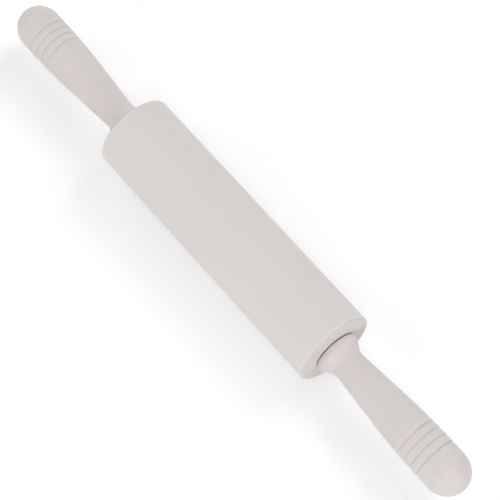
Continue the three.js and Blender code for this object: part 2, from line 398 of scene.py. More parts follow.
@dataclass(frozen=True, kw_only=True)
class SiliconeFinish(Finish):
    """Matte silicone rubber: faint clouds, a fine moulded grain and specks of dust, with painted shade
    on its rounded edges and a painted highlight line where each of them starts.
    """

    edge_from: float
    edge_to: float
    layers: Sequence[Layer] = (
        Layer(22.0, 3.0, tone=0.7, gloss=0.1),
        Layer(2400.0, 2.0, tone=0.3, gloss=0.06, relief=1.0),
    )
    tones: Pair = (0.985, 1.015)
    depth: float = 0.03 * MM
    strength: float = 0.35
    specular: float = 0.45
    dust: Colour = (0.86, 0.84, 0.81)
    dust_cells: float = 260.0
    dust_size: float = 0.045
    dust_rarity: float = 0.86
    dust_share: float = 0.35
    # Shift, width and tone of the painted highlight line, then tone and easing of the painted shade on
    # the rounded edges.
    highlight_shift: float = 0.5 * MM
    highlight_width: float = 0.65 * MM
    highlight_tone: float = 1.13
    edge_shade_tone: float = 0.935
    edge_ease: float = 0.4 * MM

    def sockets(self, graph: Graph) -> dict[str, Any]:
        """Paints shade on the rounded edges and a pale highlight line where each starts, then scatters
        the dust.

        Args:
            graph: Graph of the material.

        Returns:
            Sockets of the shader with their values.
        """
        inputs = super().sockets(graph)
        along = graph.along()
        # The pale line is a painted highlight where each rounded edge starts, and the edge past it
        # gets painted shade.
        shifted = abs(along + self.highlight_shift)
        rim = abs(shifted - self.edge_from).ramp(self.highlight_width, 0.0)
        past_rim = shifted.ramp(self.edge_from, self.edge_from + 2 * self.edge_ease)
        on_edge = past_rim * abs(along).ramp(self.edge_to, self.edge_to - self.edge_ease)
        # Painted shade on the rounded edge.
        with_edge_shade = graph.blend(on_edge, inputs["Base Color"], self.tint(self.edge_shade_tone))
        # Painted highlight: the pale line where the rounded edge starts.
        with_painted_highlight = graph.blend(rim, with_edge_shade, self.tint(self.highlight_tone))
        distance, chance = graph.cells(self.dust_cells)
        dust = (distance < self.dust_size) * (chance > self.dust_rarity)
        inputs["Base Color"] = graph.blend(dust * self.dust_share, with_painted_highlight, self.dust)
        return inputs


@dataclass(frozen=True, kw_only=True)
class MouldedFinish(Finish):
    """Matte moulded polypropylene: spark-textured pits and grain, rougher grooves with painted shade,
    and a painted highlight on their shoulders.
    """

    layers: Sequence[Layer] = (
        Layer(34.0, 3.0, tone=0.5, gloss=0.12),
        Layer(60.0, 2.0, along=0.25, tone=0.35),
        Layer(3600.0, 1.0, tone=0.15, relief=0.4),
        Layer(2100.0, 0.0, relief=0.6, pattern=Pattern.PITS),
    )
    depth: float = 0.04 * MM
    groove_gloss: float = 0.12
    # Tones of the painted shade in the grooves and of the painted highlight on their shoulders.
    groove_shade_tone: float = 0.97
    shoulder_highlight_tone: float = 1.03

    def sockets(self, graph: Graph) -> dict[str, Any]:
        """Paints shade into the grooves, makes them rougher and paints a highlight on their shoulders.

        Args:
            graph: Graph of the material.

        Returns:
            Sockets of the shader with their values.
        """
        inputs = super().sockets(graph)
        groove, shoulder = map(graph.attribute, ("groove", "shoulder"))
        # Painted highlight on the grooves' shoulders.
        with_painted_highlight = graph.blend(shoulder, inputs["Base Color"], self.tint(self.shoulder_highlight_tone))
        # Painted shade in the grooves.
        inputs["Base Color"] = graph.blend(groove, with_painted_highlight, self.tint(self.groove_shade_tone))
        inputs["Roughness"] += groove * self.groove_gloss
        return inputs


@dataclass(frozen=True, kw_only=True)
class PlainPlasticFinish(Finish):
    """Untextured moulded plastic of an inner piece: flow marks along the axis over a soft ripple."""

    layers: Sequence[Layer] = (
        Layer(90.0, 3.0, along=0.3, tone=0.75, gloss=0.14, relief=0.6),
        Layer(900.0, 2.0, tone=0.25, relief=0.4),
    )
    tones: Pair = (0.95, 1.04)


LINES = Layer(1500.0, 3.0, along=0.02, tone=0.75, gloss=0.2, relief=1.0)
STAIN = Layer(70.0, 4.0, tone=0.25, gloss=0.15)


@dataclass(frozen=True, kw_only=True)
class MetalFinish(Finish):
    """Bare or plated steel: long thin noise for the drawing lines, broad noise for a faint stain."""

    layers: Sequence[Layer] = (LINES, STAIN)
    spread: Pair = (0.2, 0.8)
    tones: Pair = (0.82, 1.12)
    strength: float = 0.25
    metallic: float = 1.0


def arc(centre: Pair, size: float, start: float, stop: float, steps: int = CORNER_STEPS) -> Array:
    """Centre plus size times cosine and sine of an even angle, zero pointing away from the axis."""
    angle = np.linspace(start, stop, steps + 1)
    return np.column_stack([centre[0] + size * np.cos(angle), centre[1] + size * np.sin(angle)])


def rounded(corners: Sequence[Sequence[float]], steps: int = CORNER_STEPS) -> Array:
    """Closed section through square corners, each rounded by a quarter circle of its own size.

    With u the direction into a corner, v the one out of it and a the angle, the arc is the corner plus
    its size times the sum of (1 - cos a) v and (sin a - 1) u. A size of zero leaves the corner sharp.

    Args:
        corners: Radius, distance along the axis and size of the rounding of each corner.
        steps: Number of steps round a corner.

    Returns:
        Rows of radius and distance along the axis.
    """
    table = np.array(corners)
    place, size = table[:, :2], table[:, 2:]
    way_in = place - np.roll(place, 1, axis=0)
    way_in /= np.linalg.norm(way_in, axis=1, keepdims=True)
    way_out = np.roll(way_in, -1, axis=0)
    angle = np.linspace(0.0, QUARTER, steps + 1)[:, None]
    bend = (1 - np.cos(angle)) * way_out[:, None] + (np.sin(angle) - 1) * way_in[:, None]
    rows = place[:, None] + size[:, None] * bend
    return rows[(size > 0) | (np.arange(steps + 1) == 0)]


def guarded(points: Array, guard: float) -> Array:
    """Adds a row close to both ends of each long straight run, so that flat faces are shaded flat.

    Args:
        points: Rows of a profile.
        guard: Distance of the added rows from the ends of their run.

    Returns:
        The profile with its added rows.
    """
    step = np.diff(points, axis=0)
    length = np.linalg.norm(step, axis=1, keepdims=True)
    reach = step / np.maximum(length, TINY) * guard
    trio = np.stack([points[:-1], points[:-1] + reach, points[1:] - reach], axis=1)
    is_long = length[:, 0] > LONG_RUN * guard
    keep = np.column_stack([np.ones_like(is_long), is_long, is_long])
    return np.vstack([trio[keep], points[-1:]])


def ring_profile(bore: float, radius: float, back: float, face: float, edge: float) -> Array:
    """Section of a plain ring, from its back to its face: a rectangle with its corners rounded."""
    ends = [(radius, back), (radius, face), (bore, face), (bore, back)]
    return rounded([(*corner, edge) for corner in ends])


def without_pocket(profile: Array) -> Array:
    """Adds a pocket depth of zero to rows of radius and distance."""
    return np.column_stack([profile, np.zeros(len(profile))])


def pocket_rows(inner: float, outer: float, face: float, depth: float, draft: float) -> Array:
    """Section across a ring of pockets in a flat face: walls lean in by the draft to a flat floor."""
    radius = np.array([inner, inner + draft, outer - draft, outer])
    return np.column_stack([radius, np.full_like(radius, face), [0.0, depth, depth, 0.0]])


def bell(offset: Array) -> Array:
    """Squared cosine of an offset: one in the middle, zero from an offset of one on either side."""
    return np.cos(np.clip(np.abs(offset), 0.0, 1.0) * QUARTER) ** 2


def add_object(name: str, data: bpy.types.ID) -> Piece:
    """Puts a mesh, a light or a camera into the scene.

    Args:
        name: Name of the object.
        data: What the object shows.

    Returns:
        The new object, at the origin.
    """
    made = bpy.data.objects.new(name, data)
    bpy.context.scene.collection.objects.link(made)
    return made


@dataclass(frozen=True)
class Lathe:
    """Makes closed surfaces round the pin's axis."""

    axis_height: float
    columns: int = 192

    def angles(self) -> Array:
        """Angles of the columns, from straight up towards +Y on the right side."""
        return np.arange(self.columns) * (FULL_TURN / self.columns)

    def webs(self, count: int, half_width: int) -> Array:
        """One in the columns further than a half width from evenly spaced webs, otherwise zero."""
        pitch = self.columns // count
        return (np.abs(np.arange(self.columns) % pitch - pitch // 2) > half_width).astype(float)

    def skin(
        self, name: str, radius: Array, along: Array, side: Side = Side.RIGHT, loop: bool = False
    ) -> Piece:
        """Closes a grid of points round the axis.

        A point at radius r, distance x and angle a lies at x along the pin, r sin a across it and
        r cos a above its axis. The left end is the same surface turned half round about the vertical.

        Args:
            name: Name of the new piece.
            radius: Radii, one row for each step of the profile, with one column or one for each angle.
            along: Distances along the axis, in the same rows, with one column or one for each angle.
            side: End of the pin that the piece belongs to.
            loop: Whether the rows close on themselves instead of ending on the axis.

        Returns:
            The new object, with its place in its mesh.
        """
        radius, along = (np.broadcast_to(rows, (len(rows), self.columns)) for rows in (radius, along))
        across = radius * np.sin(self.angles())
        above = radius * np.cos(self.angles()) + self.axis_height
        points = np.stack([side.value * along, side.value * across, above], axis=-1)
        on_axis = radius.max(axis=1) < ON_AXIS
        width = np.where(on_axis, 1, self.columns)
        first = np.cumsum(width) - width
        index = first[:, None] + np.where(on_axis[:, None], 0, np.arange(self.columns))
        used = np.ones_like(index, dtype=bool)
        used[on_axis, 1:] = False
        following = np.roll(index, -1, axis=0) if loop else index[1:]
        current = index if loop else index[:-1]
        corners = np.stack(
            [current, following, np.roll(following, -1, axis=1), np.roll(current, -1, axis=1)], axis=-1
        ).reshape(-1, 4)
        starts = np.isin(corners[:, 0], first[on_axis])
        ends = np.isin(corners[:, 1], first[on_axis])
        faces = corners[~(starts | ends)].tolist()
        faces += corners[starts][:, [0, 1, 2]].tolist()
        faces += corners[ends][:, [0, 1, 3]].tolist()
        mesh = bpy.data.meshes.new(name)
        mesh.from_pydata(points[used].tolist(), [], faces)
        mesh.polygons.foreach_set("use_smooth", np.ones(len(mesh.polygons), dtype=bool))
        mesh.set_sharp_from_angle(angle=SHARP_CORNER)
        mesh.update()
        return add_object(name, mesh)

    def turn(
        self,
        name: str,
        profile: Array,
        side: Side = Side.RIGHT,
        loop: bool = True,
        pockets: Optional[Array] = None,
    ) -> Piece:
        """Carries a profile once round the axis, and sinks its pockets along the axis in some columns.

        Args:
            name: Name of the new piece.
            profile: Rows of radius, distance and perhaps pocket depth, the outside running outwards.
            side: End of the pin that the piece belongs to.
            loop: Whether the profile closes on itself instead of ending on the axis.
            pockets: One for each column that holds a pocket, zero for the others.

        Returns:
            The new object.
        """
        along = profile[:, 1:2]
        if pockets is not None:
            along = along + profile[:, 2:3] * pockets
        return self.skin(name, profile[:, 0:1], along, side, loop)


def store(piece: Piece, name: str, values: Array) -> None:
    """Keeps one number for each point of a piece, for its material to read."""
    layer = piece.data.attributes.new(name, "FLOAT", "POINT")
    layer.data.foreach_set("value", values.astype(np.float32))


def reach_of(piece: Piece) -> Array:
    """How far along the axis a piece's points lie.

    Args:
        piece: Mesh object.

    Returns:
        Distance of each point from the middle of the pin.
    """
    flat = np.empty(len(piece.data.vertices) * 3, np.float32)
    piece.data.vertices.foreach_get("co", flat)
    return np.abs(flat[::3]).astype(float)


def put_on(piece: Piece, body: Body, node: str, slot: Slot, finishes: Finishes) -> None:
    """Dresses a new piece, hides the CAD node that it stands for and lets it ride on its body.

    Args:
        piece: The new piece.
        body: Body that carries it.
        node: CAD node that it replaces.
        slot: Material slot of the record.
        finishes: Materials of all slots.
    """
    piece.data.materials.append(finishes[slot])
    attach(piece, body.value)
    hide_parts(node)
    LOG.info("%s: %d points, stands for %s", piece.name, len(piece.data.vertices), node)


def extent(node: str) -> tuple[float, float, float]:
    """Where a CAD node starts and ends along the axis, and its outer radius."""
    low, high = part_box(node)
    return low.x, high.x, (high.z - low.z) / 2


def right_extents(*kinds: str) -> list[tuple[float, float, float]]:
    """Extents of several kinds of piece at the right end, which the left end mirrors."""
    return [extent(Side.RIGHT.node(kind)) for kind in kinds]


@dataclass(frozen=True)
class Barrel:
    """The silicone sleeve and the stiff tube that it covers, each with its end and its radius."""

    end: float
    radius: float
    tube_end: float
    tube_radius: float
    edge: float = 2.0 * MM
    edge_fullness: float = 3.0
    # Shift towards the end of where the painted highlight line and the painted edge shade begin.
    highlight_offset: float = 0.2 * MM
    wall: float = 5.2 * MM
    lip_thickness: float = 3.0 * MM
    lip_radius: float = 10.0 * MM
    lip_edge: float = 0.4 * MM
    tube_wall: float = 2.0 * MM
    tube_edge: float = 0.5 * MM
    guard: float = 0.15 * MM
    edge_steps: int = 14
    lip_steps: int = 5

    @classmethod
    def from_frame(cls) -> "Barrel":
        """Takes the ends and radii of sleeve and tube from their CAD nodes."""
        return cls(*extent("silicone_sleeve")[1:], *extent("core_tube")[1:])

    def half_profile(self) -> Array:
        """Half section of the sleeve, from the middle of its outside round one end into its bore.

        The outer edge is a quarter of a superellipse, fuller than a circle: cosine and sine are raised
        to two over the fullness. The lip's edges are round, and straight runs join them.

        Returns:
            Rows of radius and distance along the axis.
        """
        back = self.end - self.lip_thickness
        bore = self.radius - self.wall
        circle = arc((0.0, 0.0), 1.0, 0.0, QUARTER, self.edge_steps).clip(0.0)
        swell = self.edge * circle ** (2 / self.edge_fullness)
        lip = rounded([
            (self.lip_radius, self.end, self.lip_edge),
            (self.lip_radius, back, self.lip_edge),
            (bore, back, 0.0),
            (bore, self.end, 0.0),
        ], self.lip_steps)
        return guarded(np.vstack([
            [[self.radius, 0.0]],
            swell + [self.radius - self.edge, self.end - self.edge],
            lip[:-1],
            [[bore, back / 2]],
        ]), self.guard)

    def build(self, lathe: Lathe, finishes: Finishes) -> None:
        """Mirrors the sleeve's half section about the middle and turns it, then turns the tube.

        Args:
            lathe: Turns the profiles.
            finishes: Materials of all slots.
        """
        half = self.half_profile()
        sleeve = lathe.turn("silicone_barrel", np.vstack([half, half[:0:-1] * OTHER_END]))
        put_on(sleeve, Body.BARREL, "silicone_sleeve", Slot.SILICONE, finishes)
        bore = self.tube_radius - self.tube_wall
        section = ring_profile(bore, self.tube_radius, -self.tube_end, self.tube_end, self.tube_edge)
        tube = lathe.turn("stiff_core", guarded(section, self.guard))
        put_on(tube, Body.BARREL, "core_tube", Slot.CORE, finishes)


@dataclass(frozen=True)
class EndBearing:
    """What carries an end of the barrel on the axle: pocketed plug, flanged bush and thrust washer."""

    side: Side
    plug_back: float
    nose: float
    flange_radius: float
    bush_back: float
    bush_face: float
    bush_flange_radius: float
    washer_back: float
    washer_face: float
    plug_radius: float = 18.9 * MM
    plug_depth: float = 15.0 * MM
    plug_flange: float = 2.8 * MM
    hub_radius: float = 9.8 * MM
    hub_bore: float = 6.8 * MM
    pocket_radius: float = 16.9 * MM
    pocket_draft: float = 0.15 * MM
    web_count: int = 6
    web_half_columns: int = 2
    bush_radius: float = 6.6 * MM
    bush_bore: float = 5.1 * MM
    bush_flange: float = 1.6 * MM
    washer_bore: float = 5.2 * MM
    edge: float = 0.3 * MM
    guard: float = 0.1 * MM

    @classmethod
    def from_frame(cls, side: Side) -> "EndBearing":
        """Takes the outer sizes of plug, bush and washer from their CAD nodes."""
        plug, bush, washer = right_extents("end_plug", "axle_bush", "thrust_washer")
        return cls(side, *plug, *bush, *washer[:2])

    def plug_profile(self) -> Array:
        """Closed section of the plug: spigot, flange and hub outside, bore, and pockets in its back.

        Returns:
            Rows of radius, distance along the axis and depth of the pockets.
        """
        shoulder = self.plug_back + self.plug_depth
        flange = shoulder + self.plug_flange
        plain = rounded([
            (self.plug_radius, self.plug_back, self.edge),
            (self.plug_radius, shoulder, 0.0),
            (self.flange_radius, shoulder, self.edge),
            (self.flange_radius, flange, self.edge),
            (self.hub_radius, flange, 0.0),
            (self.hub_radius, self.nose, self.edge),
            (self.hub_bore, self.nose, self.edge),
            (self.hub_bore, self.plug_back, self.edge),
        ])
        pocket = pocket_rows(
            self.hub_radius, self.pocket_radius, self.plug_back, self.plug_depth, self.pocket_draft
        )
        return guarded(np.vstack([without_pocket(plain), pocket]), self.guard)

    def bush_profile(self) -> Array:
        """Closed section of the bush: its sleeve, a filleted flange and the bore.

        Returns:
            Rows of radius and distance along the axis.
        """
        flange_back = self.bush_face - self.bush_flange
        return guarded(rounded([
            (self.bush_radius, self.bush_back, self.edge),
            (self.bush_radius, flange_back, self.edge),
            (self.bush_flange_radius, flange_back, self.edge),
            (self.bush_flange_radius, self.bush_face, self.edge),
            (self.bush_bore, self.bush_face, self.edge),
            (self.bush_bore, self.bush_back, self.edge),
        ]), self.guard)

    def washer_profile(self) -> Array:
        """Closed section of the thrust washer, as wide as the bush's flange."""
        radii = (self.washer_bore, self.bush_flange_radius)
        return guarded(ring_profile(*radii, self.washer_back, self.washer_face, self.edge), self.guard)

    def build(self, lathe: Lathe, finishes: Finishes) -> None:
        """Turns the three pieces: the washer stays with the handles, the others turn with the barrel.

        Args:
            lathe: Turns the profiles.
            finishes: Materials of all slots.
        """
        node = self.side.node
        webs = lathe.webs(self.web_count, self.web_half_columns)
        plug = lathe.turn(node("plug"), self.plug_profile(), self.side, pockets=webs)
        put_on(plug, Body.BARREL, node("end_plug"), Slot.CORE, finishes)
        bush = lathe.turn(node("bush"), self.bush_profile(), self.side)
        put_on(bush, Body.BARREL, node("axle_bush"), Slot.BEARING, finishes)
        washer = lathe.turn(node("end_washer"), self.washer_profile(), self.side)
        put_on(washer, Body.HANDLES, node("thrust_washer"), Slot.BEARING, finishes)


@dataclass(frozen=True)
class Handle:
    """One handle with its domed end cap: collar, neck, taper and grooved grip.

    Distances along it start at the barrel's end face.
    """

    side: Side
    barrel_end: float
    collar_face: float
    reach: float
    grip_radius: float
    collar_radius: float = 14.8 * MM
    collar_edge: float = 1.0 * MM
    collar_steps: int = 6
    collar_band: float = 3.0 * MM
    flare_shape: float = 0.8
    neck_at: float = 14.4 * MM
    neck_radius: float = 10.45 * MM
    taper: float = 0.07
    grip_from_tip: float = 29.0 * MM
    cap_band: float = 9.75 * MM
    dome_length: float = 15.75 * MM
    dome_rows: int = 40
    groove_count: int = 4
    groove_pitch: float = 5.7 * MM
    groove_half_width: float = 1.2 * MM
    groove_depth: float = 0.75 * MM
    shoulder_offset: float = 1.3
    flare_step: float = 0.3 * MM
    flare_past_neck: float = 4.0 * MM
    plain_step: float = 1.5 * MM
    groove_reach: float = 2.3
    groove_rows: int = 41
    closest_rows: float = 0.02 * MM
    seam_gap: float = 0.03 * MM
    wall: float = 2.6 * MM
    hollow_rows: int = 24
    cavity_rows: int = 6
    cavity_behind_spigot: float = 2.0 * MM
    mouth_behind_spigot: float = 1.0 * MM
    boss_reach: float = 40.0 * MM
    bore_radius: float = 4.2 * MM
    socket_radius: float = 5.2 * MM
    socket_floor: float = 8.15 * MM
    washer_seat: float = 1.95 * MM
    washer_recess: float = 8.8 * MM
    spigot_length: float = 8.0 * MM
    spigot_wall: float = 1.6 * MM
    spigot_fit: float = 0.2 * MM
    snap_height: float = 0.4 * MM
    snap_width: float = 1.6 * MM
    snap_clearance: float = 0.3 * MM
    pocket_inner: float = 10.175 * MM
    pocket_outer: float = 12.425 * MM
    pocket_depth: float = 4.0 * MM
    pocket_draft: float = 0.1 * MM
    web_count: int = 8
    web_half_columns: int = 2
    guard: float = 0.1 * MM

    @classmethod
    def from_frame(cls, side: Side) -> "Handle":
        """Takes the handle's overall sizes from its CAD nodes.

        Args:
            side: End of the pin.

        Returns:
            The handle with sizes that agree with the CAD model.
        """
        _, end, _ = extent("silicone_sleeve")
        (collar, _, _), (_, tip, grip_radius) = right_extents("handle", "handle_cap")
        return cls(side, end, collar - end, tip - end, grip_radius)

    @property
    def dome_at(self) -> float:
        """Distance where the domed end begins."""
        return self.reach - self.dome_length

    @property
    def seam_at(self) -> float:
        """Distance of the outermost groove, which holds the cap's seam."""
        return self.dome_at - self.cap_band

    @property
    def spigot_end(self) -> float:
        """Distance of the inner end of the cap's spigot."""
        return self.seam_at + self.spigot_fit / 2 - self.spigot_length

    def groove_centres(self) -> Array:
        """Distances of the ring grooves, evenly pitched inwards from the seam."""
        return self.seam_at - self.groove_pitch * np.arange(self.groove_count)

    def groove_offset(self, distance: Array) -> Array:
        """Distances from the nearest groove's centre, counted in half widths of a groove."""
        return np.abs(distance[:, None] - self.groove_centres()).min(axis=1) / self.groove_half_width

    def groove_share(self, distance: Array) -> Array:
        """How deep in a groove a point lies: one on its floor, zero outside it."""
        return bell(self.groove_offset(distance))

    def shoulder_share(self, distance: Array) -> Array:
        """How close a point lies to a groove's shoulder: one on it, zero a half width off."""
        return bell(self.groove_offset(distance) - self.shoulder_offset)

    def plain_radius(self, distance: Array) -> Array:
        """Outside radius without the grooves.

        From the neck a cubic leaves at the taper's slope and eases into the straight grip. Towards
        the barrel the taper's line is blended up to the collar by a squared sine. The end is a quarter
        of an ellipse.

        Args:
            distance: Distances from the barrel's face.

        Returns:
            Radii at those distances.
        """
        length = self.reach - self.grip_from_tip - self.neck_at
        t = np.clip((distance - self.neck_at) / length, 0.0, 1.0)
        ease = (1 + 2 * t) * (1 - t) ** 2
        slope = self.taper * length * t * (1 - t) ** 2
        grip = self.neck_radius * ease + slope + self.grip_radius * (1 - ease)
        band_end = self.collar_face + self.collar_band
        u = np.clip((distance - band_end) / (self.neck_at - band_end), 0.0, 1.0)
        fall = np.sin(QUARTER * u**self.flare_shape) ** 2
        line = self.neck_radius + self.taper * (distance - self.neck_at)
        flare = self.collar_radius + (line - self.collar_radius) * fall
        v = np.clip((distance - self.dome_at) / self.dome_length, 0.0, 1.0)
        return np.where(distance < self.neck_at, flare, grip) * np.sqrt(1 - v**2)

    def outside(self, distance: Array) -> Array:
        """Rows of radius and distance outside: the plain radius less the depth of the grooves."""
        radius = self.plain_radius(distance) - self.groove_depth * self.groove_share(distance)
        return np.column_stack([radius, distance])

    def stations(self, start: float, stop: float) -> Array:
        """Distances at which the outside is sampled, closer together in the flare and in the grooves.

        Args:
            start: First distance.
            stop: Last distance.

        Returns:
            Rising distances, both ends included.
        """
        flare = np.arange(self.collar_face, self.neck_at + self.flare_past_neck, self.flare_step)
        plain = np.arange(self.collar_face, self.dome_at, self.plain_step)
        in_groove = np.linspace(-self.groove_reach, self.groove_reach, self.groove_rows)
        grooves = (self.groove_centres()[:, None] + in_groove * self.groove_half_width).ravel()
        every = np.unique(np.round(np.concatenate([flare, plain, grooves]), STATION_DECIMALS))
        between = every[(every > start + self.closest_rows) & (every < stop - self.closest_rows)]
        return np.concatenate([[start], between, [stop]])

    def snap(self, radius: float, height: float, width: float) -> Array:
        """Trapezoid ring on a wall half way along the spigot, its crest half as wide as its foot."""
        along = self.spigot_end + self.spigot_length / 2 + np.array([-0.5, -0.25, 0.25, 0.5]) * width
        return np.column_stack([radius + np.array([0.0, height, height, 0.0]), along])

    def shell_profile(self) -> Array:
        """Closed section of the handle: collar to seam outside, then back by cavity and axle bore.

        Returns:
            Rows of radius, distance and depth of the pockets in the collar's face.
        """
        face = self.collar_face
        rim_at = (self.collar_radius - self.collar_edge, face + self.collar_edge)
        rim = arc(rim_at, self.collar_edge, -QUARTER, 0.0, self.collar_steps)
        seam = self.seam_at - self.seam_gap / 2
        outside = self.outside(self.stations(face + self.collar_edge, seam))
        bore = self.grip_radius - self.wall
        snap_depth = self.snap_height + self.snap_clearance - self.spigot_fit
        snap_groove = self.snap(bore, snap_depth, self.snap_width + 2 * self.snap_clearance)[::-1]
        cavity_from = self.spigot_end - self.cavity_behind_spigot
        spread = np.linspace(cavity_from, self.boss_reach, self.cavity_rows)
        inner = np.vstack([
            [[bore, seam]],
            snap_groove,
            [[bore, self.spigot_end - self.mouth_behind_spigot]],
            np.column_stack([self.plain_radius(spread) - self.wall, spread]),
            [[self.bore_radius, self.boss_reach]],
            [[self.bore_radius, self.socket_floor]],
            [[self.socket_radius, self.socket_floor]],
            [[self.socket_radius, self.washer_seat]],
            [[self.washer_recess, self.washer_seat]],
            [[self.washer_recess, face]],
        ])
        pocket = pocket_rows(
            self.pocket_inner, self.pocket_outer, face, self.pocket_depth, self.pocket_draft
        )
        inside = np.vstack([without_pocket(inner), pocket, without_pocket(rim[:1])])
        return np.vstack([
            without_pocket(np.vstack([rim[1:], outside[1:]])), guarded(inside, self.guard)
        ])

    def cap_profile(self) -> Array:
        """Half section of the cap: inside the dome to the spigot, then out over seam and dome.

        Returns:
            Rows of radius and distance, both ends on the axis.
        """
        spigot = self.grip_radius - self.wall - self.spigot_fit
        hollow = spigot - self.spigot_wall
        seam = self.seam_at + self.seam_gap / 2
        angle = np.linspace(QUARTER, 0.0, self.hollow_rows)
        rise = self.dome_at + (self.dome_length - self.wall) * np.sin(angle)
        inside = np.column_stack([hollow * np.cos(angle), rise])
        inside[0, 0] = 0.0
        tail = np.vstack([
            inside[-1:],
            [[hollow, self.spigot_end]],
            [[spigot, self.spigot_end]],
            self.snap(spigot, self.snap_height, self.snap_width),
            [[spigot, seam]],
        ])
        straight = self.outside(self.stations(seam, self.dome_at))
        climb = np.sin(np.linspace(0.0, QUARTER, self.dome_rows)[1:])
        dome = self.outside(self.dome_at + self.dome_length * climb)
        dome[-1, 0] = 0.0
        return np.vstack([inside[:-1], guarded(tail, self.guard), straight, dome])

    def build(self, lathe: Lathe, finishes: Finishes) -> None:
        """Turns the handle and its cap, and marks the grooves and their shoulders on their points.

        Args:
            lathe: Turns the profiles.
            finishes: Materials of all slots.
        """
        node = self.side.node
        webs = lathe.webs(self.web_count, self.web_half_columns)
        place = np.array([0.0, self.barrel_end, 0.0])
        shell = lathe.turn(node("grip"), self.shell_profile() + place, self.side, pockets=webs)
        cap = lathe.turn(node("grip_end"), self.cap_profile() + place[:2], self.side, loop=False)
        for piece, replaced in ((shell, "handle"), (cap, "handle_cap")):
            distance = reach_of(piece) - self.barrel_end
            store(piece, "groove", self.groove_share(distance))
            store(piece, "shoulder", self.shoulder_share(distance))
            put_on(piece, Body.HANDLES, node(replaced), Slot.HANDLE, finishes)


@dataclass(frozen=True)
class AxleSet:
    """The steel axle, threaded at both ends, and the nuts and washers that hold the handles on it."""

    half_length: float
    radius: float
    nut_back: float
    nut_face: float
    nut_corner: float
    washer_back: float
    washer_face: float
    washer_radius: float
    shoulder: float = 107.95 * MM
    shoulder_edge: float = 0.3 * MM
    thread_radius: float = 4.0 * MM
    thread_from: float = 132.0 * MM
    thread_pitch: float = 1.25 * MM
    thread_depth: float = 0.77 * MM
    thread_flat: float = 0.12
    thread_runout: float = 2.0 * MM
    rows_per_turn: int = 12
    end_chamfer: float = 0.8 * MM
    bore: float = 4.2 * MM
    bore_chamfer: float = 0.5 * MM
    nut_face_share: float = 0.84
    nut_bevel: float = math.radians(30)
    bevel_rows: int = 10
    washer_edge: float = 0.25 * MM
    guard: float = 0.1 * MM

    @classmethod
    def from_frame(cls) -> "AxleSet":
        """Takes the outer sizes of axle, nuts and washers from their CAD nodes."""
        nut, washer = right_extents("axle_nut", "nut_washer")
        return cls(*extent("axle")[1:], *nut, *washer)

    def axle(self, lathe: Lathe) -> Piece:
        """Turns the axle and cuts its threads.

        The thread is a triangle wave with flattened crests of the distance in pitches plus the angle
        in turns. It fades in over its run-out, and the chamfered end limits it.

        Args:
            lathe: Closes the surface.

        Returns:
            The axle.
        """
        shoulder_at = (self.radius - self.shoulder_edge, self.shoulder - self.shoulder_edge)
        chamfer_at = self.half_length - self.end_chamfer
        turns = np.arange(self.thread_from, chamfer_at, self.thread_pitch / self.rows_per_turn)
        chamfer = np.linspace(0.0, self.end_chamfer, self.rows_per_turn)
        half = np.vstack([
            arc(shoulder_at, self.shoulder_edge, 0.0, QUARTER),
            [[self.thread_radius, self.shoulder]],
            np.column_stack([np.full_like(turns, self.thread_radius), turns]),
            np.column_stack([self.thread_radius - chamfer, chamfer_at + chamfer]),
            [[0.0, self.half_length]],
        ])
        rows = guarded(np.vstack([half[::-1] * OTHER_END, half]), self.guard)
        plain, along = rows[:, 0:1], rows[:, 1:2]
        phase = (along / self.thread_pitch + lathe.angles() / FULL_TURN) % 1.0
        wave = (1 - np.abs(2 * phase - 1) - self.thread_flat) / (1 - 2 * self.thread_flat)
        fade = np.clip((np.abs(along) - self.thread_from) / self.thread_runout, 0.0, 1.0)
        depth = self.thread_depth * np.clip(wave, 0.0, 1.0) * fade
        cut = np.minimum(plain, self.thread_radius - depth)
        radius = np.where(np.abs(along) < self.thread_from, plain, cut)
        return lathe.skin("threaded_axle", radius, along)

    def nut(self, lathe: Lathe, side: Side) -> Piece:
        """Hexagon nut: at each angle the smaller of the hexagon's radius and of a cone at either face.

        Args:
            lathe: Closes the surface.
            side: End of the pin.

        Returns:
            The nut.
        """
        height = self.nut_face - self.nut_back
        flat = self.nut_corner * math.cos(HEX_SECTOR / 2)
        hexagon = flat / np.cos(lathe.angles() % HEX_SECTOR - HEX_SECTOR / 2)
        face = self.nut_corner * self.nut_face_share
        bevel = (self.nut_corner - face) * math.tan(self.nut_bevel)
        rise = np.linspace(0.0, bevel, self.bevel_rows)
        depth = np.concatenate([rise, height - rise[::-1]])
        cone = face + np.minimum(depth, height - depth) / math.tan(self.nut_bevel)
        mouth = np.array([self.bore + self.bore_chamfer, self.bore])
        into_bore = np.array([0.0, self.bore_chamfer])
        limit = np.concatenate([cone, mouth, mouth[::-1]])
        along = self.nut_back + np.concatenate([depth, height - into_bore, into_bore[::-1]])
        radius = np.minimum(hexagon, limit[:, None])
        return lathe.skin(side.node("hex_nut"), radius, along[:, None], side, loop=True)

    def washer(self, lathe: Lathe, side: Side) -> Piece:
        """Turns a plain washer with rolled edges."""
        sizes = (self.bore, self.washer_radius, self.washer_back, self.washer_face, self.washer_edge)
        return lathe.turn(side.node("flat_washer"), guarded(ring_profile(*sizes), self.guard), side)

    def build(self, lathe: Lathe, finishes: Finishes) -> None:
        """Makes and finishes the axle, then the washer and nut at each end.

        Args:
            lathe: Makes the surfaces.
            finishes: Materials of all slots.
        """
        put_on(self.axle(lathe), Body.HANDLES, "axle", Slot.STEEL, finishes)
        for side in Side:
            washer, nut = self.washer(lathe, side), self.nut(lathe, side)
            put_on(washer, Body.HANDLES, side.node("nut_washer"), Slot.ZINC, finishes)
            put_on(nut, Body.HANDLES, side.node("axle_nut"), Slot.ZINC, finishes)


def direction(azimuth: float, elevation: float) -> Vector:
    """Unit vector at an azimuth from +X towards +Y and an elevation, both in degrees."""
    turn, tilt = math.radians(azimuth), math.radians(elevation)
    return Vector((math.cos(turn) * math.cos(tilt), math.sin(turn) * math.cos(tilt), math.sin(tilt)))


